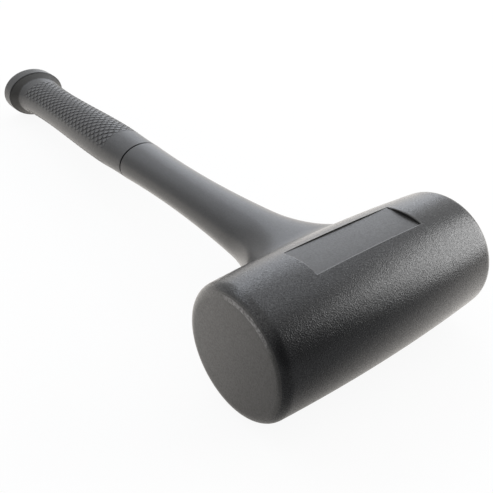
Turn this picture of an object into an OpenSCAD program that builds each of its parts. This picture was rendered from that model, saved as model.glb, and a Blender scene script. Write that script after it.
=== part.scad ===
// Dead blow hammer, lying on a bench: a cast polyurethane head and shank over a
// steel canister of loose shot, with a steel core along the handle and a grip sleeve.
// Millimetres. Z is up, the head lies along Y and the handle runs towards -X.

/* [Head] */
// Largest diameter of the head, at its middle
head_d = 63.5; // [58:0.5:76]
// Length of the head from strike face to strike face
head_l = 132; // [120:1:160]
// How much the head's radius drops from its middle to its faces
head_swell = 2.1; // [0.8:0.1:3]
// Rounding of the edge of each strike face
face_round = 5; // [3:0.5:8]
// Length of the label pocket in the crown, along the head
pocket_l = 64; // [40:1:80]
// Width of the label pocket
pocket_w = 19.2; // [12:0.2:24]
// Depth of the pocket's flat floor below the crown
pocket_depth = 2.5; // [1.5:0.1:3]
// Distance of the pocket's centre line from the crown, towards the handle
pocket_back = 1; // [0:0.1:3]

/* [Shank] */
// Distance from the head's axis to the shank's narrowest place
waist_at = 130; // [120:0.5:150]
// Width of the shank at its narrowest place, along the head
waist_w = 27.6; // [24:0.2:32]
// Thickness of the shank at its narrowest place
waist_t = 21.2; // [19:0.2:26]
// Thickness of the shank where it runs into the back of the head
neck_t = 32.8; // [26:0.2:38]
// Radius of the shank's long hollow curve, seen from above
waist_curve_r = 678; // [400:2:1200]
// Radius of the flare that carries the shank into the back of the head
flare_r = 37; // [24:1:42]
// Distance from the head's axis to the ring groove before the grip
groove_at = 169; // [155:0.2:180]
// Thickness of the handle at the ring groove
groove_t = 23.2; // [20:0.2:28]
// Width of the ring groove
groove_w = 1; // [0.6:0.1:2]
// Depth of the ring groove
groove_depth = 1.2; // [0.6:0.1:2]

/* [Grip] */
// Distance from the ring groove to the grip's swell
swell_at = 35; // [25:1:45]
// Width of the grip at its swell
swell_w = 31.6; // [27:0.2:37]
// Thickness of the grip at its swell
swell_t = 25.6; // [22:0.2:31]
// Distance from the ring groove to the grip's waist
grip_waist_at = 104; // [85:1:115]
// Width of the grip at its waist
grip_waist_w = 28.8; // [24:0.2:33]
// Thickness of the grip at its waist
grip_waist_t = 23.4; // [20:0.2:28]
// Width of the grip's neck, under the pommel
grip_neck_w = 32.2; // [28:0.2:36]
// Thickness of the grip's neck, under the pommel
grip_neck_t = 25.2; // [22:0.2:28]

/* [Pommel] */
// Distance from the head's axis to the end of the pommel
pommel_end = 321.5; // [310:0.5:335]
// Width of the pommel flange
pommel_w = 41.2; // [38:0.1:46]
// Thickness of the pommel flange, square to its width
pommel_t = 31.5; // [30:0.1:38]
// Length of the pommel flange along the handle
pommel_l = 10.5; // [6:0.1:13]
// Rounding of the rim at the end of the pommel
rim_round = 1.5; // [0.8:0.1:2.4]
// Rounding of the rim at the flange's inner face
inner_round = 0.6; // [0.3:0.1:1.2]
// Length of the flange's sloped inner face, which rises from the grip's neck
slope_l = 5.2; // [3:0.1:8]

/* [Canister] */
// Polyurethane over the canister's side
skin = 7.75; // [6:0.25:10]
// Polyurethane over each end of the canister
face_pad = 12.5; // [9:0.5:16]
// Wall of the canister's tube
can_wall = 2; // [1.2:0.1:3]
// Thickness of the flange of an end cap, outside the tube
cap_flange = 2; // [1:0.1:3]
// Depth of an end cap's plug, inside the tube
cap_plug = 4; // [2:0.5:6]
// Diameter of the dish in an end cap's outer face
cap_dish_d = 30; // [20:1:34]
// Depth of that dish
cap_dish = 1.2; // [0.5:0.1:2]

/* [Shot] */
// Diameter of a steel ball
ball_d = 8; // [6:0.5:10]
// Gap that is left between two balls
ball_gap = 0.3; // [0.2:0.05:0.5]
// How far the charge slides from the middle, each way
shot_travel = 9; // [4:0.5:12]
// Height of the highest ball centre above the canister's axis
fill_level = 7; // [-4:0.5:10]

/* [Core] */
// Outer diameter of the core tube
core_d = 14; // [11:0.5:15]
// Wall of the core tube
core_wall = 2; // [1.2:0.1:3]
// Diameter of the socket that holds the core on the canister
socket_d = 22; // [19:0.5:26]
// Length of the socket, from the canister's side
socket_l = 20; // [16:0.5:28]
// Gap between the core's end and the canister's side
core_gap = 0.3; // [0.2:0.1:1]
// Distance from the canister's side to the cross pin
pin_from = 12; // [8:0.5:14]
// Diameter of the cross pin
pin_d = 4; // [3:0.5:5]
// Wall of the cross pin, a slotted roll pin
pin_wall = 0.8; // [0.5:0.1:1]
// Slot along the cross pin
pin_slot = 0.8; // [0.4:0.1:1.2]
// Length of the core plug inside the tube
plug_l = 9; // [5:0.5:14]
// Thickness of the core plug's head
plug_head = 2; // [1:0.5:4]
// Polyurethane between the core plug and the end of the pommel
end_pad = 14; // [8:0.5:20]

/* [Clearances] */
// Gap around each piece that is cast in or pressed in
bond_gap = 0.05; // [0.02:0.01:0.1]
// Gap between the charge of shot and the canister
shot_gap = 0.3; // [0.2:0.05:0.5]

/* [Hidden] */

rubber_black = "#37383a";
grip_black = "#3c3d3f";
bare_steel = "#8d9196";
zinc_steel = "#a9adb1";
plug_white = "#d8d8d2";

// Segments of drawn circles, steps of the head's side, and sides and steps of the lofted handle
round_fn = 96;
swell_steps = 14;
loft_sides = 40;
loft_steps = 12;
rim_steps = 5;
// Length by which a cutter runs past the face it cuts
past = 1;

head_r = head_d / 2;
half_l = head_l / 2;

// The head's side follows one arc from face to face, and its edge arcs are tangent to it
swell_r = (half_l * half_l + head_swell * head_swell) / (2 * head_swell);
swell_x = head_r - swell_r;
edge_y = half_l - face_round;
edge_x = swell_x + sqrt(pow(swell_r - face_round, 2) - edge_y * edge_y);
tangent_y = edge_y * swell_r / (swell_r - face_round);

// Canister, from the skin that covers it
can_r = head_r - skin;
can_bore_r = can_r - can_wall;
can_l = head_l - 2 * face_pad;
tube_l = can_l - 2 * cap_flange;
free_l = tube_l - 2 * cap_plug;

// Core, from the canister's side to the pad under the pommel
core_r = core_d / 2;
core_bore_r = core_r - core_wall;
core_start = can_r + core_gap;
core_end = pommel_end - end_pad - plug_head;
socket_end = can_r + socket_l;
pin_at = can_r + pin_from;

// Shank, as seen from above: the flare ends square to the head's back and is
// tangent to the long hollow curve
flare_x = head_r - head_swell + flare_r;
flare_y = waist_w / 2 + waist_curve_r
    - sqrt(pow(waist_curve_r - flare_r, 2) - pow(waist_at - flare_x, 2));
flare_turn = asin((waist_at - flare_x) / (waist_curve_r - flare_r));
shank_end = groove_at - groove_w / 2;
groove_turn = asin((waist_at - shank_end) / waist_curve_r);
shank_start = head_r / 2;

// Grip, from the groove to the pommel
grip_start = groove_at + groove_w / 2;
flange_at = pommel_end - pommel_l;
lip = min(pommel_w - grip_neck_w, pommel_t - grip_neck_t) / 2;
rim_r = min(rim_round, lip / 2);
inner_r = min(inner_round, lip / 2);
neck_at = flange_at - slope_l;

// Charge of shot: close rows of balls, in two layers that take turns
ball_pitch = ball_d + ball_gap;
row_pitch = ball_pitch * sqrt(3) / 2;
layer_pitch = ball_pitch * sqrt(2 / 3);
ball_reach = can_bore_r - shot_gap - ball_d / 2;
ball_layers = floor((free_l - 2 * shot_travel - 2 * shot_gap - ball_d) / layer_pitch) + 1;
ball_rows = ceil(2 * ball_reach / row_pitch);
ball_fn = 32;

// Lean that brings the pommel's rim down to the bench beside the head
rim_x = pommel_end - rim_r;
rim_z = pommel_t / 2 - rim_r;
lean = asin((head_r - rim_r) / norm([rim_x, rim_z])) - atan2(rim_z, rim_x);
lie_x = (pommel_end * cos(lean) + rim_z * sin(lean) - head_r) / 2;

// Eases from 0 to 1 with no slope at either end
function ease(t) = (1 - cos(180 * t)) / 2;

// Half width of the shank on its long hollow curve, at a turn of that curve
function waist_half(turn) = waist_w / 2 + waist_curve_r * (1 - cos(turn));

// Half thickness of the shank at a distance from the head's axis
function shank_half_t(at) =
    at < waist_at
    ? (waist_t + (neck_t - waist_t) * pow((waist_at - at) / (waist_at - head_r), 2)) / 2
    : (waist_t + (groove_t - waist_t) * pow((at - waist_at) / (groove_at - waist_at), 2)) / 2;

// Rings of the loft, each [distance from the head's axis, half width, half thickness]
function shank_rings() = concat(
    [[shank_start, flare_y, shank_half_t(flare_x - flare_r)]],
    [
        for (i = [0 : loft_steps])
            let (
                turn = 90 + (flare_turn - 90) * i / loft_steps,
                at = flare_x - flare_r * sin(turn)
            )
            [at, flare_y - flare_r * cos(turn), shank_half_t(at)]
    ],
    [
        for (i = [1 : loft_steps])
            let (
                turn = flare_turn + (groove_turn - flare_turn) * i / loft_steps,
                at = waist_at - waist_curve_r * sin(turn)
            )
            [at, waist_half(turn), shank_half_t(at)]
    ],
    [spigot_ring(shank_end), spigot_ring(grip_start)]
);

// The shank's reduced end, which forms the floor of the ring groove
function spigot_ring(at) = [
    at,
    waist_half(groove_turn) - groove_depth,
    shank_half_t(shank_end) - groove_depth
];

// One smooth stretch of the grip between two sections, each [distance, width, thickness]
function grip_stretch(a, b) = [
    for (i = [0 : loft_steps - 1])
        let (t = i / loft_steps)
        [
            a[0] + (b[0] - a[0]) * t,
            (a[1] + (b[1] - a[1]) * ease(t)) / 2,
            (a[2] + (b[2] - a[2]) * ease(t)) / 2
        ]
];

// The last stretch opens towards the pommel as a parabola
function grip_opening(a, b) = [
    for (i = [0 : loft_steps])
        let (t = i / loft_steps)
        [
            a[0] + (b[0] - a[0]) * t,
            (a[1] + (b[1] - a[1]) * t * t) / 2,
            (a[2] + (b[2] - a[2]) * t * t) / 2
        ]
];

// A quarter round of the flange's rim, from the round's centre along the handle and its first turn
function rim_quarter(r, at, start) = [
    for (i = [0 : rim_steps])
        let (turn = start + 90 * i / rim_steps)
        [
            at - r * cos(turn),
            pommel_w / 2 - r + r * sin(turn),
            pommel_t / 2 - r + r * sin(turn)
        ]
];

function grip_rings() =
    let (
        front = [grip_start, 2 * waist_half(groove_turn), groove_t],
        swell = [groove_at + swell_at, swell_w, swell_t],
        waist = [groove_at + grip_waist_at, grip_waist_w, grip_waist_t],
        neck = [neck_at, grip_neck_w, grip_neck_t]
    )
    concat(
        grip_stretch(front, swell),
        grip_stretch(swell, waist),
        grip_opening(waist, neck),
        rim_quarter(inner_r, flange_at + inner_r, 0),
        rim_quarter(rim_r, pommel_end - rim_r, 90)
    );

// A closed skin through oval rings that follow each other along the handle
module loft(rings) {
    n = loft_sides;
    last = len(rings) - 1;
    points = [
        for (ring = rings)
            for (i = [0 : n - 1])
                [-ring[0], ring[1] * cos(360 * i / n), ring[2] * sin(360 * i / n)]
    ];
    sides = [
        for (k = [0 : last - 1])
            for (i = [0 : n - 1])
                let (j = (i + 1) % n)
                each [
                    [k * n + i, k * n + j, k * n + n + j],
                    [k * n + i, k * n + n + j, k * n + n + i]
                ]
    ];
    caps = [
        [for (i = [0 : n - 1]) n - 1 - i],
        [for (i = [0 : n - 1]) last * n + i]
    ];
    polyhedron(points, concat(sides, caps), convexity = 6);
}

// Lays the hammer down: the pommel leans to the bench and the origin goes under the middle
module lay_down() {
    translate([lie_x, 0, head_r])
        rotate([0, -lean, 0])
            children();
}

// A round bar along the handle, between two distances from the head's axis
module along_handle(r, from, to) {
    translate([-from, 0, 0])
        rotate([0, -90, 0])
            cylinder(r = r, h = to - from, $fn = round_fn);
}

// A round bar along the head, between two places on it
module along_head(r, from, to) {
    translate([0, from, 0])
        rotate([-90, 0, 0])
            cylinder(r = r, h = to - from, $fn = round_fn);
}

// Half section of the head: the swelled side in short straight steps, with rounded edges
module head_section() {
    polygon([
        [0, -tangent_y],
        for (i = [0 : swell_steps])
            let (y = tangent_y * (2 * i / swell_steps - 1))
            [swell_x + sqrt(swell_r * swell_r - y * y), y],
        [0, tangent_y]
    ]);
    translate([0, -half_l])
        square([edge_x, head_l]);
    for (side = [-1, 1])
        translate([edge_x, side * edge_y])
            circle(r = face_round, $fn = round_fn);
}

module head_solid() {
    rotate([-90, 0, 0])
        rotate_extrude($fn = 2 * round_fn)
            head_section();
}

module label_pocket() {
    translate([-pocket_back - pocket_w / 2, -pocket_l / 2, head_r - pocket_depth])
        cube([pocket_w, pocket_l, pocket_depth + past]);
}

// Head and shank, cast in one piece over the canister and the core
module casing() {
    color(rubber_black)
        lay_down()
            difference() {
                union() {
                    head_solid();
                    loft(shank_rings());
                }
                label_pocket();
                along_head(can_r + bond_gap, -can_l / 2 - bond_gap, can_l / 2 + bond_gap);
                along_handle(socket_d / 2 + bond_gap, 0, socket_end + bond_gap);
                along_handle(core_r + bond_gap, 0, grip_start + past);
            }
}

// Grip sleeve with its pommel, cast over the rest of the core
module grip() {
    color(grip_black)
        lay_down()
            difference() {
                loft(grip_rings());
                along_handle(core_r + bond_gap, grip_start - past, core_end + plug_head + bond_gap);
            }
}

module canister_tube() {
    color(bare_steel)
        lay_down()
            difference() {
                along_head(can_r, -tube_l / 2, tube_l / 2);
                along_head(can_bore_r, -tube_l / 2 - past, tube_l / 2 + past);
            }
}

// Stepped end cap: a plug in the tube, a flange against its end and a shallow dish
module end_cap() {
    color(bare_steel)
        difference() {
            union() {
                along_head(can_bore_r - bond_gap, free_l / 2, tube_l / 2 + past);
                along_head(can_r, tube_l / 2, can_l / 2);
            }
            along_head(cap_dish_d / 2, can_l / 2 - cap_dish, can_l / 2 + past);
        }
}

module front_cap() {
    lay_down()
        mirror([0, 1, 0])
            end_cap();
}

module back_cap() {
    lay_down()
        end_cap();
}

// Socket welded to the canister's side, saddle-cut to fit it
module core_socket() {
    color(bare_steel)
        lay_down()
            difference() {
                along_handle(socket_d / 2, 0, socket_end);
                along_head(can_r + bond_gap, -can_l / 2, can_l / 2);
                along_handle(core_r + bond_gap, -past, socket_end + past);
                pin_hole();
            }
}

module pin_hole() {
    translate([-pin_at, 0, 0])
        along_head(pin_d / 2 + bond_gap, -socket_d, socket_d);
}

module core_tube() {
    color(zinc_steel)
        lay_down()
            difference() {
                along_handle(core_r, core_start, core_end);
                along_handle(core_bore_r, core_start - past, core_end + past);
                pin_hole();
            }
}

// Slotted roll pin through the socket and the core
module cross_pin() {
    pin_l = sqrt(socket_d * socket_d - pin_d * pin_d);
    color(zinc_steel)
        lay_down()
            translate([-pin_at, 0, 0])
                difference() {
                    along_head(pin_d / 2, -pin_l / 2, pin_l / 2);
                    along_head(pin_d / 2 - pin_wall, -pin_l / 2 - past, pin_l / 2 + past);
                    translate([0, -pin_l / 2 - past, -pin_slot / 2])
                        cube([pin_d, pin_l + 2 * past, pin_slot]);
                }
}

// Plug that closes the core tube's far end
module core_plug() {
    color(plug_white)
        lay_down() {
            along_handle(core_bore_r - bond_gap, core_end - plug_l, core_end + plug_head / 2);
            along_handle(core_r, core_end, core_end + plug_head);
        }
}

// Centres of the balls: hexagonal rows from the canister's lowest line up to the fill level
function ball_centres() = [
    for (k = [0 : ball_layers - 1])
        let (
            odd = k % 2,
            y = (k - (ball_layers - 1) / 2) * layer_pitch
        )
        for (j = [0 : ball_rows])
            for (i = [-ball_rows : ball_rows])
                let (
                    x = ball_pitch * (i + (j % 2 + odd) / 2),
                    z = row_pitch * (j + odd / 3) - ball_reach
                )
                if (norm([x, z]) <= ball_reach + shot_gap / 2 && z <= fill_level)
                    [x, y, z]
];

// Loose steel shot, lying in the bottom of the canister
module shot() {
    color(zinc_steel)
        lay_down()
            rotate([0, lean, 0])
                for (centre = ball_centres())
                    translate(centre)
                        sphere(d = ball_d, $fn = ball_fn);
}

casing();
grip();
canister_tube();
front_cap();
back_cap();
core_socket();
core_tube();
cross_pin();
core_plug();
shot();
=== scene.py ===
from bisect import bisect_left
from math import asin, atan2, cos, hypot, pi, radians, sin, sqrt

import bmesh
import bpy
from mathutils import Matrix, Vector


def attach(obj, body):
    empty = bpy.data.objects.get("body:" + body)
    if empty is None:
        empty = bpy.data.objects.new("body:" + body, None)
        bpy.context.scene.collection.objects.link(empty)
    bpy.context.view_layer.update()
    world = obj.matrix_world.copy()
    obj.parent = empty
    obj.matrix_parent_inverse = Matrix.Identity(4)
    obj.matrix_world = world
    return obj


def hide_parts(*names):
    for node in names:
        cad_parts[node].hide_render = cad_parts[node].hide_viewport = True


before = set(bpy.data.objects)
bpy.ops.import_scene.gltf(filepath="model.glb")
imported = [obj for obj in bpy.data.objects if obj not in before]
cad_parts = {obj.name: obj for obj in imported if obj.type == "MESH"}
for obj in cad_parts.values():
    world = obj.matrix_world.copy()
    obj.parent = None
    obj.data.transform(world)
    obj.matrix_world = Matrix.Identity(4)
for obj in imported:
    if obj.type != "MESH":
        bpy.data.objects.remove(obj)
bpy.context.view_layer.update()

# Sizes in millimetres, as in the part's source. Pieces are modelled in the hammer's own frame, with the head
# along Y, the handle towards -X and the crown at +Z, and then laid down on the bench. A place along the
# handle, s or a name that ends in AT, START or END, is its distance from the head's axis.

# Head: a barrel with flat strike faces and rounded edges
HEAD_R = 31.75
HEAD_HALF = 66
BARREL_RISE = 2.1
FACE_ROUND = 5

# Label pocket in the crown
POCKET_HALF = 32
POCKET_FRONT, POCKET_BACK = 8.6, -10.6
POCKET_DEPTH = 2.5

# Shank: a flare at the head runs into a long hollow curve with its waist
ROOT_HALF_W, ROOT_HALF_T = 46, 16.4
FLARE_R = 37
WAIST_AT, WAIST_HALF_W, WAIST_HALF_T = 130, 13.8, 10.6
WAIST_CURVE_R = 678

# Ring groove between the shank and the grip
GROOVE_AT, GROOVE_HALF, GROOVE_DEPTH = 169, 0.5, 1.2
GROOVE_HALF_T = 11.6

# Grip sleeve: a swell for the palm, a waist, and the neck under the pommel
PALM_AT, PALM_HALF_W, PALM_HALF_T = 204, 15.8, 12.8
GRIP_WAIST_AT, GRIP_WAIST_HALF_W, GRIP_WAIST_HALF_T = 273, 14.4, 11.7
NECK_HALF_W, NECK_HALF_T = 16.1, 12.6

# Pommel: a sloped inner face, and a flange with rounded edges
POMMEL_END, POMMEL_HALF_W, POMMEL_HALF_T = 321.5, 20.6, 15.75
FLANGE_L, SLOPE_L = 10.5, 5.2
RIM_ROUND, INNER_ROUND = 1.5, 0.6

# Hollows for the canister, its socket and the core
CAN_R, CAN_HALF = 24.05, 53.55
SOCKET_R, SOCKET_END = 11.05, 44.05
CORE_R, CORE_END = 7.05, 307.55

# Shot: balls in close rows, how far their centres reach from the canister's axis, and how high they fill it
BALL_R, BALL_PITCH = 4, 8.3
BALL_REACH, REACH_SLACK, FILL_LEVEL = 17.7, 0.15, 7
BALL_LAYERS, BALL_ROWS, BALL_COLUMNS = 11, 6, 5
BALL_DETAIL = 3

# The barrel's curve is an arc, whose centre lies far beyond the head's axis
BARREL_R = (HEAD_HALF ** 2 + BARREL_RISE ** 2) / (2 * BARREL_RISE)
BARREL_CENTRE = HEAD_R - BARREL_R

# Centre of the rounding at a strike face's edge, and the turn at which it meets the barrel
EDGE_Y = HEAD_HALF - FACE_ROUND
EDGE_R = BARREL_CENTRE + sqrt((BARREL_R - FACE_ROUND) ** 2 - EDGE_Y ** 2)
EDGE_TURN = asin(EDGE_Y / (BARREL_R - FACE_ROUND))

# Centre of the flare's curve, and the place where it runs into the waist's curve
FLARE_AT = HEAD_R - BARREL_RISE + FLARE_R
FLARE_TO_WAIST = WAIST_AT - FLARE_AT
CURVE_GAP = WAIST_CURVE_R - FLARE_R
FLARE_Y = WAIST_HALF_W + WAIST_CURVE_R - sqrt(CURVE_GAP ** 2 - FLARE_TO_WAIST ** 2)
FLARE_END = FLARE_AT - FLARE_R * FLARE_TO_WAIST / CURVE_GAP

SHANK_END = GROOVE_AT - GROOVE_HALF
GRIP_START = GROOVE_AT + GROOVE_HALF
FLANGE_AT = POMMEL_END - FLANGE_L
NECK_AT = FLANGE_AT - SLOPE_L

# The hammer lies on its head and the rim of its pommel, so the handle leans down from the head
RIM_AT, RIM_Z = POMMEL_END - RIM_ROUND, POMMEL_HALF_T - RIM_ROUND
LEAN = asin((HEAD_R - RIM_ROUND) / hypot(RIM_AT, RIM_Z)) - atan2(RIM_Z, RIM_AT)
LIE_X = (POMMEL_END * cos(LEAN) + RIM_Z * sin(LEAN) - HEAD_R) / 2
TILT = Matrix.Rotation(-LEAN, 4, "Y")
LAY_DOWN = Matrix.Scale(0.001, 4) @ Matrix.Translation((LIE_X, 0, HEAD_R)) @ TILT


def head_radius(y):
    """Radius of the head's barrel at a distance along it from its middle."""
    return BARREL_CENTRE + sqrt(BARREL_R ** 2 - y * y)


def shank_half_w(s):
    """Half width of the shank: the flare, then the long hollow curve."""
    if s < FLARE_AT - FLARE_R:
        return FLARE_Y
    if s < FLARE_END:
        return FLARE_Y - sqrt(FLARE_R ** 2 - (FLARE_AT - s) ** 2)
    return WAIST_HALF_W + WAIST_CURVE_R - sqrt(WAIST_CURVE_R ** 2 - (s - WAIST_AT) ** 2)


def shank_half_t(s):
    """Half thickness of the shank, which is thinnest at its waist."""
    if s < WAIST_AT:
        return WAIST_HALF_T + (ROOT_HALF_T - WAIST_HALF_T) * ((WAIST_AT - s) / (WAIST_AT - HEAD_R)) ** 2
    return WAIST_HALF_T + (GROOVE_HALF_T - WAIST_HALF_T) * ((s - WAIST_AT) / (GROOVE_AT - WAIST_AT)) ** 2


def ease(t):
    """A share from 0 to 1 that starts and stops gently."""
    return (1 - cos(pi * t)) / 2


def grip_half(s):
    """(half width, half thickness) of the grip sleeve."""
    front = (shank_half_w(SHANK_END), GROOVE_HALF_T)
    palm = (PALM_HALF_W, PALM_HALF_T)
    waist = (GRIP_WAIST_HALF_W, GRIP_WAIST_HALF_T)
    neck = (NECK_HALF_W, NECK_HALF_T)
    if s < PALM_AT:
        a, b, t = front, palm, ease((s - GRIP_START) / (PALM_AT - GRIP_START))
    elif s < GRIP_WAIST_AT:
        a, b, t = palm, waist, ease((s - PALM_AT) / (GRIP_WAIST_AT - PALM_AT))
    else:
        a, b, t = waist, neck, ((s - GRIP_WAIST_AT) / (NECK_AT - GRIP_WAIST_AT)) ** 2
    return a[0] + (b[0] - a[0]) * t, a[1] + (b[1] - a[1]) * t


def ring_edges(bm, ring):
    """Edges of a closed ring of vertices."""
    return [bm.edges.get(pair) for pair in zip(ring, ring[1:] + ring[:1])]


def grow(bm, ring, places):
    """Extrudes a closed ring of vertices by one ring and sets the new ring's places."""
    made = bmesh.ops.extrude_edge_only(bm, edges=ring_edges(bm, ring))["geom"]
    fresh = {v for v in made if isinstance(v, bmesh.types.BMVert)}
    grown = []
    for v, place in zip(ring, places):
        w = next(e.other_vert(v) for e in v.link_edges if e.other_vert(v) in fresh)
        w.co = place
        grown.append(w)
    return grown


def close_ring(bm, ring):
    """Fills a closed ring of vertices with one face."""
    bmesh.ops.edgeloop_fill(bm, edges=ring_edges(bm, ring))


def sunk(p, s, depth):
    """A point of the handle's skin moved to another place along it, and in towards its axis."""
    keep = 1 - depth / hypot(p.y, p.z)
    return Vector((-s, p.y * keep, p.z * keep))


def piece(name, bm, materials, sharp=50):
    """Lays a modelled bmesh down on the bench as an object, smooth but for edges past an angle in degrees."""
    bmesh.ops.recalc_face_normals(bm, faces=bm.faces)
    bmesh.ops.transform(bm, matrix=LAY_DOWN, verts=bm.verts)
    mesh = bpy.data.meshes.new(name)
    bm.to_mesh(mesh)
    bm.free()
    mesh.shade_smooth()
    if sharp:
        mesh.set_sharp_from_angle(angle=radians(sharp))
    for material in materials:
        mesh.materials.append(material)
    obj = bpy.data.objects.new(name, mesh)
    bpy.context.scene.collection.objects.link(obj)
    return obj


def linear(code):
    """An sRGB hex colour as linear RGBA."""
    parts = [int(code[i:i + 2], 16) / 255 for i in (1, 3, 5)]
    return [c / 12.92 if c <= 0.04045 else ((c + 0.055) / 1.055) ** 2.4 for c in parts] + [1]


def connect(tree, node, outputs):
    """Links outputs to a node's sockets."""
    for key, output in dict(outputs).items():
        tree.links.new(output, node.inputs[key])


def add(tree, kind, links=(), inputs=(), **settings):
    """Adds a node with its settings, its socket values and its incoming links."""
    node = tree.nodes.new(kind)
    for key, value in settings.items():
        setattr(node, key, value)
    for key, value in dict(inputs).items():
        node.inputs[key].default_value = value
    connect(tree, node, links)
    return node


def start_material(name):
    """A new material with a Principled shader, and its Object coordinates."""
    material = bpy.data.materials.new(name)
    material.use_nodes = True
    tree = material.node_tree
    place = add(tree, "ShaderNodeTexCoord").outputs["Object"]
    return material, tree, tree.nodes["Principled BSDF"], place


# Sockets of the Mix node by number, since several of them have the same name
SHARE, NUMBER_A, NUMBER_B, COLOUR_A, COLOUR_B = 0, 2, 3, 6, 7
NUMBER_MIX, COLOUR_MIX = 0, 2

# Noise keeps to the middle of its range, so a pattern takes this span of it
NOISE_SPAN = {"From Min": 0.3, "From Max": 0.7}

POLYMER_IOR = 1.5
CLOUD_MM = 14
GRAIN_GLOSS = 0.05


def moulded(name, dark, light, rough, grain_mm, depth_mm, glint=0.0, shine=0.5):
    """A skin from a blasted mould: faintly clouded, with a pebble grain. Glint is how much more the pebbles'
    tops shine than the hollows between them, and shine is the sheen of the whole."""
    material, tree, shader, place = start_material(name)
    shader.inputs["IOR"].default_value = POLYMER_IOR
    shader.inputs["Specular IOR Level"].default_value = shine
    cloud = add(tree, "ShaderNodeTexNoise", {"Vector": place},
                {"Scale": 1000 / CLOUD_MM, "Detail": 3, "Roughness": 0.55})
    tint = add(tree, "ShaderNodeMapRange", {"Value": cloud.outputs["Fac"]}, NOISE_SPAN)
    colour = add(tree, "ShaderNodeMix", {SHARE: tint.outputs["Result"]},
                 {COLOUR_A: linear(dark), COLOUR_B: linear(light)}, data_type="RGBA")
    grain = add(tree, "ShaderNodeTexNoise", {"Vector": place},
                {"Scale": 1000 / grain_mm, "Detail": 1.5, "Roughness": 0.5}).outputs["Fac"]
    gloss = add(tree, "ShaderNodeMapRange", {"Value": grain},
                {**NOISE_SPAN, "To Min": rough + GRAIN_GLOSS, "To Max": rough - GRAIN_GLOSS})
    bump = add(tree, "ShaderNodeBump", {"Height": grain}, {"Strength": 1, "Distance": depth_mm / 1000})
    connect(tree, shader, {"Base Color": colour.outputs[COLOUR_MIX], "Roughness": gloss.outputs["Result"],
                           "Normal": bump.outputs["Normal"]})
    if glint:
        sheen = add(tree, "ShaderNodeMapRange", {"Value": grain},
                    {**NOISE_SPAN, "To Min": shine - glint, "To Max": shine + glint})
        connect(tree, shader, {"Specular IOR Level": sheen.outputs["Result"]})
    return material


# A painted highlight lies on the edge a little before its top, where light catches it: the way there, and the
# distances in metres, measured that way from the frame's origin, at which it begins and is full
HIGHLIGHT_WAY = (0.259, 0, 0.966)
HIGHLIGHT_STARTS, HIGHLIGHT_FULL = 0.0893, 0.0925
SPOT_LOW, SPOT_HIGH = 0.3, 0.65


def paint_edge_highlight(material, pale, spot_mm):
    """Paints a pale speckled highlight over a finish, on the part of the edge that catches the light."""
    tree = material.node_tree
    shader = tree.nodes["Principled BSDF"]
    skin = shader.inputs["Base Color"].links[0].from_socket
    place = add(tree, "ShaderNodeTexCoord").outputs["Object"]
    ahead = add(tree, "ShaderNodeVectorMath", {0: place}, {1: HIGHLIGHT_WAY}, operation="DOT_PRODUCT")
    most = add(tree, "ShaderNodeMapRange", {"Value": ahead.outputs["Value"]},
               {"From Min": HIGHLIGHT_STARTS, "From Max": HIGHLIGHT_FULL})
    spots = add(tree, "ShaderNodeTexNoise", {"Vector": place}, {"Scale": 1000 / spot_mm, "Detail": 2})
    broken = add(tree, "ShaderNodeMapRange",
                 {"Value": spots.outputs["Fac"], "To Max": most.outputs["Result"]},
                 {"From Min": SPOT_LOW, "From Max": SPOT_HIGH})
    colour = add(tree, "ShaderNodeMix", {SHARE: broken.outputs["Result"], COLOUR_A: skin},
                 {COLOUR_B: linear(pale)}, data_type="RGBA")
    connect(tree, shader, {"Base Color": colour.outputs[COLOUR_MIX]})


# Lines run along the head and are 0.02 mm deep. Real ones are about 0.1 mm wide, and these are drawn 0.4 to
# 0.8 mm wide, so that they show.
LINE_STRETCH = (1, 0.06, 1)
LINE_GLOSS, LINE_BUMP, LINE_DEPTH = 0.06, 0.4, 0.00002


def steel(name, tone, bright, rough, line_mm):
    """Plain carbon steel as made: fine lines from drawing or rolling, and a slight mottle."""
    material, tree, shader, place = start_material(name)
    shader.inputs["Metallic"].default_value = 1
    stretched = add(tree, "ShaderNodeMapping", {"Vector": place}, {"Scale": LINE_STRETCH})
    lines = add(tree, "ShaderNodeTexNoise", {"Vector": stretched.outputs["Vector"]},
                {"Scale": 1000 / line_mm, "Detail": 2}).outputs["Fac"]
    colour = add(tree, "ShaderNodeMix", {SHARE: lines},
                 {COLOUR_A: linear(tone), COLOUR_B: linear(bright)}, data_type="RGBA")
    gloss = add(tree, "ShaderNodeMapRange", {"Value": lines},
                {**NOISE_SPAN, "To Min": rough - LINE_GLOSS, "To Max": rough + LINE_GLOSS})
    bump = add(tree, "ShaderNodeBump", {"Height": lines}, {"Strength": LINE_BUMP, "Distance": LINE_DEPTH})
    connect(tree, shader, {"Base Color": colour.outputs[COLOUR_MIX], "Roughness": gloss.outputs["Result"],
                           "Normal": bump.outputs["Normal"]})
    return material


# All polyurethane here is cast, near black and solid in colour, and its mould gives each surface its look. A
# fine blast of about 0.2 mm is drawn 0.5 to 0.8 mm wide, so that it shows.

# Head, from a coarsely blasted mould: pebbles that break the light into fine specks
grained = moulded("grained_polyurethane", "#1c1c1d", "#212122", 0.29, 0.55, 0.095, glint=0.23)
# Shank, from a finer blast: a smoother skin with one long soft highlight
shank = moulded("shank_polyurethane", "#1c1c1d", "#212122", 0.33, 0.5, 0.04, glint=0.08)
# Strike faces and pocket floor, from plain milled inserts: smooth, and greyer where they are handled
plain = moulded("plain_polyurethane", "#2b2a29", "#31302f", 0.36, 0.7, 0.04, glint=0.08)
# Pocket walls, which drag on the mould as it opens: little sheen, and a shade darker than the head's skin,
# painted shade in the pocket
shaded_wall = moulded("shaded_wall_polyurethane", "#1a1a1b", "#1e1e1f", 0.45, 0.8, 0.03, shine=0.35)
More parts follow.
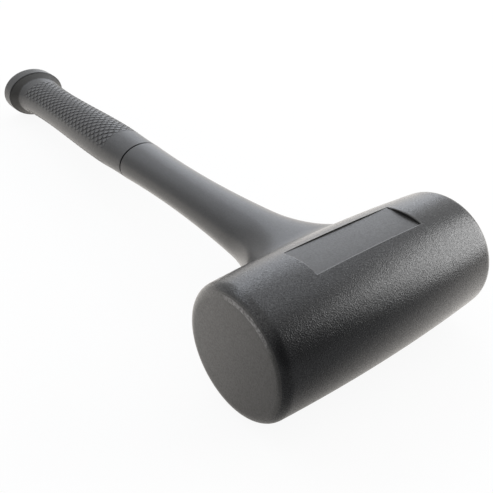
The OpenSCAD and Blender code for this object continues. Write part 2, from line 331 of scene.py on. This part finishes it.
# Pocket lip, which hands polish: glossy, with a paler colour that paints part of its thin bright highlight
polished_highlit = moulded("polished_highlit_polyurethane", "#333231", "#393837", 0.17, 0.7, 0.01, shine=0.66)
# Edge of the strike faces, rubbed in use: the head's grain, a shade greyer
rubbed = moulded("rubbed_polyurethane", "#2f2e2d", "#393836", 0.33, 0.55, 0.095, glint=0.2)
# The same edge next to the face, with a painted highlight: a pale speckled line on its upper part
highlit_edge = moulded("highlit_edge_polyurethane", "#2f2e2d", "#393836", 0.33, 0.55, 0.095, glint=0.2)
paint_edge_highlight(highlit_edge, "#7d7b7a", 1.1)
# Grip sleeve, a softer cast: satin, with a broad dim highlight
sleeve = moulded("sleeve_polyurethane", "#1e1e1f", "#232324", 0.4, 0.8, 0.03, glint=0.06)
# Lands of the checkering, which the palm burnishes: more sheen than the sleeve
burnished = moulded("checkered_polyurethane", "#202021", "#252526", 0.42, 0.8, 0.03, shine=0.78)
# Groove walls of the checkering and the pommel's flange, as they leave the mould: a dull skin
dull = moulded("dull_polyurethane", "#202021", "#252525", 0.42, 0.7, 0.035, shine=0.39)
# Pommel's sloped inner face, where dust stays: matte and greyer
matte = moulded("matte_polyurethane", "#373634", "#3c3b39", 0.5, 0.7, 0.04, shine=0.24)
# Canister, caps and socket, drawn and pressed mild steel: mid grey metal with fine lines
bare_steel = steel("drawn_steel", "#84888d", "#9a9ea3", 0.42, 0.5)
# Core and pin, zinc-plated steel: paler and brighter, with a bluish tone
zinc_steel = steel("zinc_plated_steel", "#a4a8ad", "#babec2", 0.34, 0.4)
# Shot, rolled steel balls with a film of oil: a sharper glint
ball_steel = steel("rolled_ball_steel", "#8f9398", "#a9adb2", 0.25, 0.8)
# Core plug, natural polyethylene: milky white and waxy
natural = moulded("natural_polyethylene", "#d2d2ca", "#dcdcd5", 0.5, 0.8, 0.02, glint=0.05)

# Finishes of the casing, by the number that its faces carry
GRAINED, PLAIN, SHANK, WALL, RUBBED, LIP, HIGHLIT_EDGE = range(7)
CASING_FINISHES = [grained, plain, shank, shaded_wall, rubbed, polished_highlit, highlit_edge]

# Grid of the head: steps of the spin, rings on a strike face and round its edge, and rings along the barrel
SPIN_STEPS = 88
SPIN_TURN = 2 * pi / SPIN_STEPS
FACE_RINGS = (0, 9, 18, EDGE_R - 2)
EDGE_STEPS = 8
BARREL_RINGS = range(60, -1, -4)

# Distances that count as the same point, as touching and as near
MERGE, TOUCH, NEAR = 0.0005, 0.01, 0.1

# How far the band with the painted highlight and the rubbed band reach back from a strike face
HIGHLIT_INSET, RUBBED_INSET = 0.4, 0.8

# Label pocket: the spin's lines at its long edges, the rounding of its lip and the crown of its floor
FRONT_LINE, BACK_LINE = 4, -5
FRONT_LIP, BACK_LIP, LIP_STEPS = 0.6, 0.15, 3
FLOOR_CROWN = 0.3

# Opening in the head's back, and the rings from it to the ring groove, closer together near the head
HOLE_TURN, HOLE_HALF = radians(45), 56
HEAD_STEPS, FILLET_STEPS, SHANK_STEPS = 3, 9, 34
FILLET_REACH, FILLET_MOST = 7, 0.7
SHANK_CROWDING = 1.4
SAMPLES, SAMPLE_CROWDING = 400, 1.6
HALVINGS = 50
OFF_HEAD = 1

# Rounded edge of the ring groove on the shank: (distance along, depth) of its rings
GROOVE_ROUND = 0.3
SHANK_LIP = ((0.1, 0.02), (0.24, 0.12), (0.3, 0.3))


def head_half_profile():
    """(y, radius) points of the head's section, from the middle of a strike face to the head's middle."""
    points = [(HEAD_HALF, r) for r in FACE_RINGS]
    for i in range(EDGE_STEPS + 1):
        turn = pi / 2 + (EDGE_TURN - pi / 2) * i / EDGE_STEPS
        points.append((EDGE_Y + FACE_ROUND * sin(turn), EDGE_R + FACE_ROUND * cos(turn)))
    return points + [(y, head_radius(y)) for y in BARREL_RINGS]


def head_shell():
    """The head's closed barrel, spun from its section."""
    bm = bmesh.new()
    half = head_half_profile()
    profile = half + [(-y, r) for y, r in half[-2::-1]]
    verts = [bm.verts.new((0, y, r)) for y, r in profile]
    edges = [bm.edges.new(pair) for pair in zip(verts, verts[1:])]
    bmesh.ops.spin(bm, geom=verts + edges, axis=(0, 1, 0), angle=2 * pi, steps=SPIN_STEPS, use_merge=True)
    bmesh.ops.remove_doubles(bm, verts=bm.verts, dist=MERGE)
    for f in bm.faces:
        inset = HEAD_HALF - abs(f.calc_center_median().y)
        if inset < TOUCH:
            f.material_index = PLAIN
        elif inset < HIGHLIT_INSET:
            f.material_index = HIGHLIT_EDGE
        elif inset < RUBBED_INSET:
            f.material_index = RUBBED
        else:
            f.material_index = GRAINED
    return bm


def on_back_lip(edge):
    """Whether an edge lies on the long back lip of the label pocket."""
    for v in edge.verts:
        off_line = abs(v.co.x - POCKET_BACK) >= TOUCH or abs(v.co.y) >= POCKET_HALF + NEAR
        off_crown = v.co.z <= 0 or abs(hypot(v.co.x, v.co.z) - head_radius(v.co.y)) >= TOUCH
        if off_line or off_crown:
            return False
    return True


def round_lip(bm, edges, width):
    """Rounds a lip of the label pocket."""
    bmesh.ops.bevel(bm, geom=edges, offset=width, offset_type="OFFSET", segments=LIP_STEPS, profile=0.5,
                    affect="EDGES", material=LIP, clamp_overlap=True)


def press_pocket(bm):
    """Presses the label pocket: two of the spin's lines slide onto its long edges, and the field between them
    goes down to a faintly crowned floor."""
    for v in bm.verts:
        line = round(atan2(v.co.x, v.co.z) / SPIN_TURN)
        if abs(v.co.y) < POCKET_HALF + NEAR and line in (FRONT_LINE, BACK_LINE):
            v.co.x = POCKET_FRONT if line == FRONT_LINE else POCKET_BACK
            v.co.z = sqrt(head_radius(v.co.y) ** 2 - v.co.x ** 2)
    field = []
    for f in bm.faces:
        c = f.calc_center_median()
        if c.z > 0 and abs(c.y) < POCKET_HALF and POCKET_BACK < c.x < POCKET_FRONT:
            field.append(f)
    made = bmesh.ops.extrude_face_region(bm, geom=field)["geom"]
    bmesh.ops.delete(bm, geom=[f for f in field if f.is_valid], context="FACES_ONLY")
    floor = [f for f in made if isinstance(f, bmesh.types.BMFace)]
    floor_verts = [v for v in made if isinstance(v, bmesh.types.BMVert)]
    level = Matrix.Translation((0, 0, POCKET_DEPTH - HEAD_R))
    bmesh.ops.scale(bm, vec=(1, 1, 0), space=level, verts=floor_verts)
    middle, half_w = (POCKET_FRONT + POCKET_BACK) / 2, (POCKET_FRONT - POCKET_BACK) / 2
    for v in floor_verts:
        v.co.z += FLOOR_CROWN * (1 - ((v.co.x - middle) / half_w) ** 2)
    foot = [e for f in floor for e in f.edges if not all(g in floor for g in e.link_faces)]
    walls = [g for e in foot for g in e.link_faces if g not in floor]
    lip = [e for f in walls for e in f.edges if e not in foot and sum(g in walls for g in e.link_faces) == 1]
    for f in floor:
        f.material_index = PLAIN
    for f in walls:
        f.material_index = WALL
    round_lip(bm, [e for e in lip if min(v.co.x for v in e.verts) > POCKET_BACK + NEAR], FRONT_LIP)
    round_lip(bm, [e for e in bm.edges if on_back_lip(e)], BACK_LIP)


def open_back(bm):
    """Opens the head's back, and gives the opening's vertices in their order round it."""
    back = []
    for f in bm.faces:
        c = f.calc_center_median()
        if c.x < 0 and abs(c.y) < HOLE_HALF and abs(atan2(c.z, -c.x)) < HOLE_TURN:
            back.append(f)
    bmesh.ops.delete(bm, geom=back, context="FACES")
    rim = [e for e in bm.edges if e.is_boundary]
    edge = rim[0]
    ring = [edge.verts[0]]
    while len(ring) < len(rim):
        ring.append(edge.other_vert(ring[-1]))
        edge = next(e for e in ring[-1].link_edges if e.is_boundary and e is not edge)
    return ring


def path_to_shank(boundary):
    """Places from a vertex on the rim of the head's back opening, over the head and a fillet, along the
    shank to its end."""
    across, up = boundary.y, atan2(boundary.z, -boundary.x)
    turn = atan2(up * HEAD_R / ROOT_HALF_T, across / ROOT_HALF_W)

    def on_shank(s):
        return Vector((-s, shank_half_w(s) * cos(turn), shank_half_t(s) * sin(turn)))

    near, far = HEAD_R / 2, FLARE_END
    for _ in range(HALVINGS):
        s = (near + far) / 2
        p = on_shank(s)
        if hypot(p.x, p.z) < head_radius(p.y):
            near = s
        else:
            far = s
    meet = on_shank(far)
    meet_up = atan2(meet.z, -meet.x)

    def on_head(t):
        y, angle = meet.y + (across - meet.y) * t, meet_up + (up - meet_up) * t
        return Vector((-head_radius(y) * cos(angle), y, head_radius(y) * sin(angle)))

    samples = []
    for i in range(SAMPLES + 1):
        samples.append(on_shank(far + (SHANK_END - far) * (i / SAMPLES) ** SAMPLE_CROWDING))
    lengths = [0]
    for p, q in zip(samples, samples[1:]):
        lengths.append(lengths[-1] + (q - p).length)

    def along(distance):
        i = min(max(bisect_left(lengths, distance), 1), SAMPLES)
        t = (distance - lengths[i - 1]) / (lengths[i] - lengths[i - 1])
        return samples[i - 1].lerp(samples[i], t)

    share = min(FILLET_REACH / (on_head(1) - meet).length, FILLET_MOST)
    places = [on_head(1 + (share - 1) * i / HEAD_STEPS) for i in range(1, HEAD_STEPS + 1)]
    first, last = places[-1], along(FILLET_REACH)
    for i in range(1, FILLET_STEPS):
        t = i / FILLET_STEPS
        places.append(first * (1 - t) ** 2 + meet * 2 * t * (1 - t) + last * t * t)
    for i in range(SHANK_STEPS + 1):
        rest = lengths[-1] - FILLET_REACH
        places.append(along(FILLET_REACH + rest * (i / SHANK_STEPS) ** SHANK_CROWDING))
    return places


def casing_mesh():
    """The casing's skin: the head with its pocket, the shank, and the spigot under the ring groove."""
    bm = head_shell()
    press_pocket(bm)
    ring = open_back(bm)
    paths = [path_to_shank(v.co) for v in ring]
    for places in zip(*paths):
        ring = grow(bm, ring, places)
    end = [v.co.copy() for v in ring]
    round_at = SHANK_END - GROOVE_ROUND
    for v, p in zip(ring, end):
        v.co = sunk(p, round_at, 0)
    for ahead, depth in SHANK_LIP:
        ring = grow(bm, ring, [sunk(p, round_at + ahead, depth) for p in end])
    for s in (SHANK_END, GRIP_START):
        ring = grow(bm, ring, [sunk(p, s, GROOVE_DEPTH) for p in end])
    close_ring(bm, ring)
    for f in bm.faces:
        c = f.calc_center_median()
        if c.x < 0 and hypot(c.x, c.z) > head_radius(min(abs(c.y), HEAD_HALF)) + OFF_HEAD:
            f.material_index = SHANK
    return bm


# Cutters: their sides, the last one's reach past the casing's end, and the metres within which points merge
CUT_SIDES, CUT_PAST, CUT_MERGE_M = 64, 1, 0.000005


def cut_inside(obj):
    """Cuts the canister's cavity, the socket's and the core's bores out of the casing."""
    along_head, along_handle = Matrix.Rotation(-pi / 2, 4, "X"), Matrix.Rotation(-pi / 2, 4, "Y")
    cutters = []
    for r, low, high, turn in ((CAN_R, -CAN_HALF, CAN_HALF, along_head),
                               (SOCKET_R, 0, SOCKET_END, along_handle),
                               (CORE_R, 0, GRIP_START + CUT_PAST, along_handle)):
        bm = bmesh.new()
        bmesh.ops.create_cone(bm, cap_ends=True, segments=CUT_SIDES, radius1=r, radius2=r, depth=high - low,
                              matrix=turn @ Matrix.Translation((0, 0, (low + high) / 2)))
        cutter = piece("cutter", bm, [])
        cut = obj.modifiers.new("cut", "BOOLEAN")
        cut.operation = "DIFFERENCE"
        cut.object = cutter
        cut.solver = "EXACT"
        cutters.append(cutter)
    graph = bpy.context.evaluated_depsgraph_get()
    mesh = bpy.data.meshes.new_from_object(obj.evaluated_get(graph))
    bm = bmesh.new()
    bm.from_mesh(mesh)
    bmesh.ops.remove_doubles(bm, verts=bm.verts, dist=CUT_MERGE_M)
    bm.to_mesh(mesh)
    bm.free()
    obj.modifiers.clear()
    obj.data = mesh
    for cutter in cutters:
        bpy.data.objects.remove(cutter)


casing = piece("casing_moulding", casing_mesh(), CASING_FINISHES)
cut_inside(casing)
weigh = casing.modifiers.new("weigh", "WEIGHTED_NORMAL")
weigh.keep_sharp = True

# Finishes of the grip, by the number that its faces carry
SLEEVE, SLOPE, LAND, DULL = range(4)
GRIP_FINISHES = [sleeve, matte, burnished, dull]

# Rings of the grip: their sides, which are equal on an oval of this thickness to width, found in fine steps
GRIP_SIDES, GRIP_RATIO, FINE_STEPS = 36, 0.8, 2000

# Checkered panel: its ends and rows, its reach in columns to each side of its middle, and how far a land
# stays from the line of its groove and stands above it
PANEL_AT, PANEL_END, PANEL_ROWS = 189.5, 299.2, 46
PANEL_HALF = 7
LAND_GAP, GROOVE_CUT = 0.32, 0.5

# Rings of the core's bore, the sleeve's rounded front edge as (depth, distance along), the plain skin before
# and after the panel, the slope and the pommel. Rings close to an edge hold it when the mesh is softened.
BORE_HOLD, BORE_PITCH = 0.5, 60
BORE_RINGS = (CORE_END - BORE_HOLD, CORE_END - BORE_PITCH, CORE_END - 2 * BORE_PITCH,
              GRIP_START + BORE_HOLD, GRIP_START)
SLEEVE_LIP = ((GROOVE_DEPTH, 0), (0.35, 0), (0.1, 0.1), (0, 0.35))
FRONT_RINGS = [PANEL_AT - 3 * i for i in range(6, 0, -1)]
NECK_RINGS = (PANEL_END + 2.4, PANEL_END + 4.4, NECK_AT - 1.1, NECK_AT)
SLOPE_SHARES = (0.22, 0.55, 0.94)
INNER_TURNS = (0, 45, 90)
FLANGE_RINGS = (FLANGE_AT + 1.4, POMMEL_END - 3.5)
RIM_TURNS = (0, 15, 40, 65, 90)
END_SHARES = (0.97, 0.75, 0.45, 0.2)
OFF_BORE = 1
SOFTEN_LEVELS = 2


def even_turns(ratio, count):
    """Turns from the top round an oval of that thickness to width, at equal arc lengths."""
    lengths = [0]
    for i in range(FINE_STEPS):
        a, b = 2 * pi * i / FINE_STEPS, 2 * pi * (i + 1) / FINE_STEPS
        lengths.append(lengths[-1] + hypot(sin(b) - sin(a), ratio * (cos(b) - cos(a))))
    return [2 * pi * bisect_left(lengths, lengths[-1] * i / count) / FINE_STEPS for i in range(count)]


TURNS = even_turns(GRIP_RATIO, GRIP_SIDES)


def oval(s, half_w, half_t):
    """Places of one ring round the handle."""
    return [Vector((-s, half_w * sin(t), half_t * cos(t))) for t in TURNS]


def checker(bm, rows, middle, crease):
    """Cuts a checkered panel: diagonal grooves between square lands, which run out at the panel's edge."""
    columns = [(middle + i) % GRIP_SIDES for i in range(-PANEL_HALF, PANEL_HALF + 1)]
    inside, crossings, centres = set(), [], []
    for j, row in enumerate(rows):
        for i, column in enumerate(columns):
            inside.add(row[column])
            if (i + j) % 2 == 0:
                crossings.append(row[column])
            elif 0 < j < PANEL_ROWS:
                centres.append(row[column])
    border = [rows[j][c] for j in (0, PANEL_ROWS) for c in columns]
    border += [row[c] for row in rows[1:-1] for c in (columns[0], columns[-1])]
    bmesh.ops.connect_verts(bm, verts=crossings)
    spare = [e for v in border if v not in crossings for e in v.link_edges
             if all(w in inside for w in e.verts) and not all(w in border for w in e.verts)]
    bmesh.ops.dissolve_edges(bm, edges=spare)
    bmesh.ops.dissolve_verts(bm, verts=[v for v in centres if v.is_valid and v not in border])
    lands = [f for f in bm.faces if all(v in inside for v in f.verts)]
    walls = bmesh.ops.inset_individual(bm, faces=lands, thickness=LAND_GAP, use_even_offset=True)["faces"]
    for f in walls:
        f.material_index = DULL
    for f in lands:
        f.material_index = LAND
        for v in f.verts:
            half_w, half_t = grip_half(-v.co.x)
            lift = 1 / hypot(v.co.y / half_w, v.co.z / half_t)
            v.co.y *= lift
            v.co.z *= lift
        for e in f.edges:
            e[crease] = 1
            e.smooth = False
    for v in crossings:
        if v not in border:
            v.co = sunk(v.co, -v.co.x, GROOVE_CUT)
        for e in v.link_edges:
            if e.other_vert(v) in crossings:
                e[crease] = 1


def grip_mesh():
    """The grip sleeve in rings, from the end of the core's bore out over the skin to the pommel's end."""
    bm = bmesh.new()
    ring = bmesh.ops.create_circle(bm, segments=GRIP_SIDES, radius=1)["verts"]
    ring = sorted(ring, key=lambda v: atan2(v.co.x, v.co.y) % (2 * pi))
    for v, place in zip(ring, oval(CORE_END, CORE_R, CORE_R)):
        v.co = place
    close_ring(bm, ring)
    for s in BORE_RINGS:
        ring = grow(bm, ring, oval(s, CORE_R, CORE_R))
    width, thick = grip_half(GRIP_START)
    for depth, ahead in SLEEVE_LIP:
        ring = grow(bm, ring, oval(GRIP_START + ahead, width - depth, thick - depth))
    for s in FRONT_RINGS:
        ring = grow(bm, ring, oval(s, *grip_half(s)))
    rows = []
    for j in range(PANEL_ROWS + 1):
        s = PANEL_AT + (PANEL_END - PANEL_AT) * j / PANEL_ROWS
        ring = grow(bm, ring, oval(s, *grip_half(s)))
        rows.append(ring)
    for s in NECK_RINGS:
        ring = grow(bm, ring, oval(s, *grip_half(s)))

    inner_w, inner_t = POMMEL_HALF_W - INNER_ROUND, POMMEL_HALF_T - INNER_ROUND
    for t in SLOPE_SHARES:
        ring = grow(bm, ring, oval(NECK_AT + SLOPE_L * t, NECK_HALF_W + (inner_w - NECK_HALF_W) * t,
                                   NECK_HALF_T + (inner_t - NECK_HALF_T) * t))
    for turn in INNER_TURNS:
        along, out = INNER_ROUND * (1 - cos(radians(turn))), INNER_ROUND * sin(radians(turn))
        ring = grow(bm, ring, oval(FLANGE_AT + along, inner_w + out, inner_t + out))
    for s in FLANGE_RINGS:
        ring = grow(bm, ring, oval(s, POMMEL_HALF_W, POMMEL_HALF_T))
    rim_w, rim_t = POMMEL_HALF_W - RIM_ROUND, POMMEL_HALF_T - RIM_ROUND
    for turn in RIM_TURNS:
        back, out = RIM_ROUND * (1 - sin(radians(turn))), RIM_ROUND * cos(radians(turn))
        ring = grow(bm, ring, oval(POMMEL_END - back, rim_w + out, rim_t + out))
    for share in END_SHARES:
        ring = grow(bm, ring, oval(POMMEL_END, rim_w * share, rim_t * share))
    close_ring(bm, ring)
    for f in bm.faces:
        c = f.calc_center_median()
        if -c.x > FLANGE_AT:
            f.material_index = DULL
        elif -c.x > NECK_AT and hypot(c.y, c.z) > CORE_R + OFF_BORE:
            f.material_index = SLOPE
        else:
            f.material_index = SLEEVE

    crease = bm.edges.layers.float.new("crease_edge")
    for middle in (0, GRIP_SIDES // 2):
        checker(bm, rows, middle, crease)
    return bm


grip = piece("grip_sleeve", grip_mesh(), GRIP_FINISHES, sharp=0)
soft = grip.modifiers.new("soften", "SUBSURF")
soft.levels = soft.render_levels = SOFTEN_LEVELS


def shot_mesh():
    """Loose shot in close rows, in two layers that take turns, upright whatever the hammer's lean."""
    bm = bmesh.new()
    upright = Matrix.Rotation(LEAN, 4, "Y")
    row_pitch, layer_pitch = BALL_PITCH * sqrt(3) / 2, BALL_PITCH * sqrt(2 / 3)
    for k in range(BALL_LAYERS):
        odd = k % 2
        y = (k - (BALL_LAYERS - 1) / 2) * layer_pitch
        for j in range(BALL_ROWS):
            for i in range(-BALL_COLUMNS, BALL_COLUMNS + 1):
                x = BALL_PITCH * (i + (j % 2 + odd) / 2)
                z = row_pitch * (j + odd / 3) - BALL_REACH
                if hypot(x, z) <= BALL_REACH + REACH_SLACK and z <= FILL_LEVEL:
                    bmesh.ops.create_icosphere(bm, subdivisions=BALL_DETAIL, radius=BALL_R,
                                               matrix=upright @ Matrix.Translation((x, y, z)))
    return bm


shot = piece("shot_balls", shot_mesh(), [ball_steel], sharp=0)

for obj, body, node, slot in ((casing, "hammer", "casing", "cast_polyurethane"),
                              (grip, "hammer", "grip", "grip_polyurethane"),
                              (shot, "charge", "shot", "shot_steel")):
    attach(obj, body)
    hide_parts(node)

for finish, nodes in ((bare_steel, ("canister_tube", "front_cap", "back_cap", "core_socket")),
                      (zinc_steel, ("core_tube", "cross_pin")),
                      (natural, ("core_plug",))):
    for node in nodes:
        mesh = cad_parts[node].data
        mesh.materials.clear()
        mesh.materials.append(finish)

# Pale plain bench, painted white. The eye sees it as nearly plain white, with the hammer's soft shadow, and
# the hammer's gloss mirrors it as a glowing white sheet: a painted reflection, brighter to one side and warm.
BENCH_HALF = 4
BENCH_ROUGH = 0.9
SEEN_WHITE, MIRRORED_WHITE = 0.92, 0.7
GLOW_WAY = (-0.9, 0.436, 0)
GLOW_STARTS, GLOW_FULL, GLOW_LEVEL = -0.215, -0.105, 2.2
bm = bmesh.new()
bmesh.ops.create_grid(bm, x_segments=2, y_segments=2, size=BENCH_HALF)
mesh = bpy.data.meshes.new("bench")
bm.to_mesh(mesh)
bm.free()
bench = bpy.data.objects.new("bench", mesh)
bpy.context.scene.collection.objects.link(bench)
pale, tree, shader, place = start_material("pale_bench")
shader.inputs["Base Color"].default_value = linear("#f2f2f2")
shader.inputs["Roughness"].default_value = BENCH_ROUGH
rays = add(tree, "ShaderNodeLightPath").outputs
seen = add(tree, "ShaderNodeMath", {0: rays["Is Camera Ray"], 1: rays["Is Transmission Ray"]},
           operation="MAXIMUM")
mirrored = add(tree, "ShaderNodeMath", {0: rays["Is Glossy Ray"]}, {1: MIRRORED_WHITE}, operation="MULTIPLY")
veil = add(tree, "ShaderNodeMath", {0: seen.outputs[0], 2: mirrored.outputs[0]}, {1: SEEN_WHITE},
           operation="MULTIPLY_ADD")
# Painted reflection: gloss sees the bench glow, stronger towards one side and faintly warm
aside = add(tree, "ShaderNodeVectorMath", {0: place}, {1: GLOW_WAY}, operation="DOT_PRODUCT")
glow = add(tree, "ShaderNodeMapRange", {"Value": aside.outputs["Value"]},
           {"From Min": GLOW_STARTS, "From Max": GLOW_FULL, "To Max": GLOW_LEVEL})
level = add(tree, "ShaderNodeMix", {SHARE: rays["Is Glossy Ray"], NUMBER_B: glow.outputs["Result"]},
            {NUMBER_A: 1})
tone = add(tree, "ShaderNodeMix", {SHARE: rays["Is Glossy Ray"]},
           {COLOUR_A: linear("#ffffff"), COLOUR_B: linear("#fffaf4")}, data_type="RGBA")
white = add(tree, "ShaderNodeEmission",
            {"Strength": level.outputs[NUMBER_MIX], "Color": tone.outputs[COLOUR_MIX]})
veiled = add(tree, "ShaderNodeMixShader", {0: veil.outputs[0], 1: shader.outputs[0], 2: white.outputs[0]})
connect(tree, tree.nodes["Material Output"], {"Surface": veiled.outputs[0]})
mesh.materials.append(pale)

# Soft studio light: a white surround with a dark gap at the right of the camera. The eye sees it as plain
# white, gloss mirrors it as it is, and a share of it lights the hammer.
BRIGHT_WAY = (-0.823, -0.101, 0.559)
BRIGHT_STARTS, BRIGHT_FULL, BRIGHT_LEVEL = -0.2, 0.4, 1.17
LIGHT_SHARE = 0.7
world = bpy.data.worlds.new("studio")
bpy.context.scene.world = world
world.use_nodes = True
tree = world.node_tree
rays = add(tree, "ShaderNodeLightPath").outputs
around = add(tree, "ShaderNodeTexCoord").outputs["Generated"]
aside = add(tree, "ShaderNodeVectorMath", {0: around}, {1: BRIGHT_WAY}, operation="DOT_PRODUCT")
sweep = add(tree, "ShaderNodeMapRange", {"Value": aside.outputs["Value"]},
            {"From Min": BRIGHT_STARTS, "From Max": BRIGHT_FULL, "To Max": BRIGHT_LEVEL})
light = add(tree, "ShaderNodeMath", {0: sweep.outputs["Result"]}, {1: LIGHT_SHARE}, operation="MULTIPLY")
mirrored = add(tree, "ShaderNodeMix", {SHARE: rays["Is Glossy Ray"], NUMBER_A: light.outputs[0],
                                       NUMBER_B: sweep.outputs["Result"]})
seen = add(tree, "ShaderNodeMath", {0: rays["Is Camera Ray"], 1: rays["Is Transmission Ray"]},
           operation="MAXIMUM")
level = add(tree, "ShaderNodeMix", {SHARE: seen.outputs[0], NUMBER_A: mirrored.outputs[NUMBER_MIX]},
            {NUMBER_B: 1})
background = tree.nodes["Background"]
background.inputs["Color"].default_value = linear("#ffffff")
connect(tree, background, {"Strength": level.outputs[NUMBER_MIX]})

# Softboxes: place and size in metres, power in watts, and tone, each aimed at the head or the handle
AT_HEAD, AT_HANDLE = Vector((0.14, 0, 0.03)), Vector((0, 0, 0.03))
SOFTBOXES = (("key_softbox", (1.07, 2.17, 0.88), AT_HEAD, (1.72, 1.66), 52, "#ffffff"),
             ("top_softbox", (-0.13, 1.02, 1.73), AT_HEAD, (1.46, 1), 3.3, "#eef4ff"),
             ("overhead_softbox", (-1.27, -0.2, 1.55), AT_HANDLE, (2.5, 0.56), 12, "#eef4ff"),
             ("back_softbox", (-1.63, 1.6, 1.02), AT_HANDLE, (1.58, 1.76), 14, "#eef4ff"))
for name, place, aim, size, watts, colour in SOFTBOXES:
    lamp = bpy.data.lights.new(name, "AREA")
    lamp.shape = "RECTANGLE"
    lamp.size, lamp.size_y = size
    lamp.energy = watts
    lamp.color = linear(colour)[:3]
    box = bpy.data.objects.new(name, lamp)
    box.location = place
    box.rotation_euler = (aim - Vector(place)).to_track_quat("-Z", "Y").to_euler()
    bpy.context.scene.collection.objects.link(box)

# Camera where the photograph was taken from, fitted to the hammer's outline in the hammer's own frame
AZIMUTH, ELEVATION, ROLL = radians(48.767), radians(32.452), radians(2.454)
LOOK_AT, EYE_DISTANCE = Vector((-58.0, -10.3, 0)), 328.314
SENSOR_MM, LENS_MM = 36, 49.087
away = Vector((sin(AZIMUTH) * cos(ELEVATION), -cos(AZIMUTH) * cos(ELEVATION), sin(ELEVATION)))
right = Vector((cos(AZIMUTH), sin(AZIMUTH), 0))
up = away.cross(right)
right, up = right * cos(ROLL) + up * sin(ROLL), up * cos(ROLL) - right * sin(ROLL)
turned = Matrix((right, up, away)).transposed().to_4x4()
camera = bpy.data.cameras.new("camera")
camera.sensor_fit = "HORIZONTAL"
camera.sensor_width = SENSOR_MM
camera.lens = LENS_MM
camera.clip_start, camera.clip_end = 0.01, 20
viewer = bpy.data.objects.new("camera", camera)
viewer.rotation_euler = (TILT @ turned).to_euler()
viewer.location = LAY_DOWN @ (LOOK_AT + away * EYE_DISTANCE)
bpy.context.scene.collection.objects.link(viewer)
bpy.context.scene.camera = viewer

bpy.context.scene.view_settings.view_transform = "Standard"
